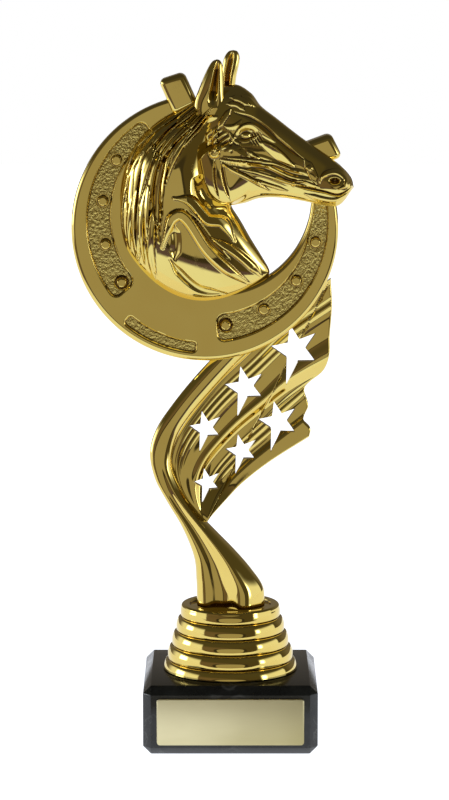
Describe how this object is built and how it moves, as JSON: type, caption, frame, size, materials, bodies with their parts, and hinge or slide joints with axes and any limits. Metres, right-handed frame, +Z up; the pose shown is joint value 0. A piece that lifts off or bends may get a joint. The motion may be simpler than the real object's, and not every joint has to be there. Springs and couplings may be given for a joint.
{
  "type": "horse trophy",
  "caption": "Horse's head in a horseshoe on a twisting ribbon stem with star-shaped holes, standing on a ribbed round collar and a square stone block with a bare plate.",
  "frame": {"origin": "centre of the marble block's underside, on the surface that the trophy stands on", "axes": "+Z up, along the trophy's height; the plate and the horse's near side face -Y; the horse looks towards +X"},
  "size_m": [0.0805, 0.0509, 0.1992],
  "materials": {
    "black_marble": "polished black marble with faint pale veins",
    "champagne_metal": "satin champagne-gold sheet with a bright bevelled edge",
    "gold_plating": "mirror-bright gold metallised plastic"
  },
  "bodies": {
    "root": {"marble_base": "black_marble", "plate": "champagne_metal", "collar": "gold_plating", "figure": "gold_plating"}
  },
  "joints": []
}
